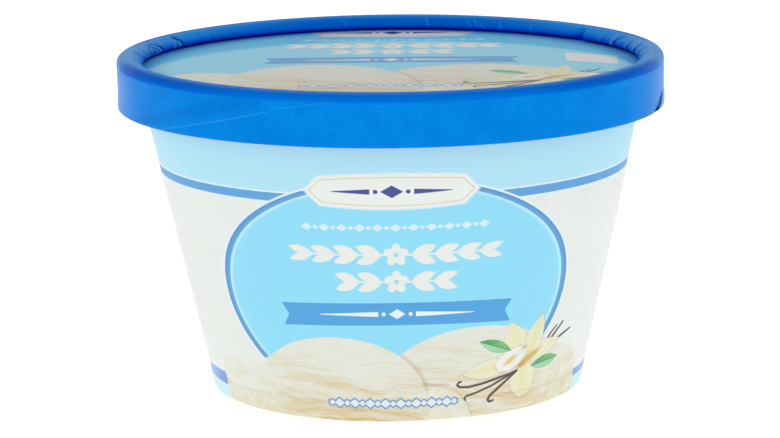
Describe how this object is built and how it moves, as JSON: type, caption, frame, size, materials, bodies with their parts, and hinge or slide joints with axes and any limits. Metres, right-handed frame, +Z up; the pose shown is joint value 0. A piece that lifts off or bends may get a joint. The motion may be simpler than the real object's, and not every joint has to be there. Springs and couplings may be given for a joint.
{
  "type": "ice cream carton",
  "caption": "Oval tapered paper carton for ice cream, shut with a wrapped-rim lid around a sunk printed top panel; stands on its foot ring.",
  "frame": {"origin": "centre of the carton's outline, on the surface it stands on", "axes": "+Z up; the oval's long axis lies along X; the printed front faces -Y"},
  "size_m": [0.1316, 0.0868, 0.0825],
  "materials": {
    "printed_cup": "coated printed board, satin: pale blue, off-white and cream fields",
    "white_board": "plain white coated board",
    "blue_paper": "bright blue wrapped paper, satin",
    "printed_top": "coated printed board, glossy: pale blue and cream fields"
  },
  "bodies": {
    "root": {"cup": "printed_cup", "base_panel": "white_board", "lid_rim": "blue_paper", "lid_panel": "printed_top"}
  },
  "joints": []
}
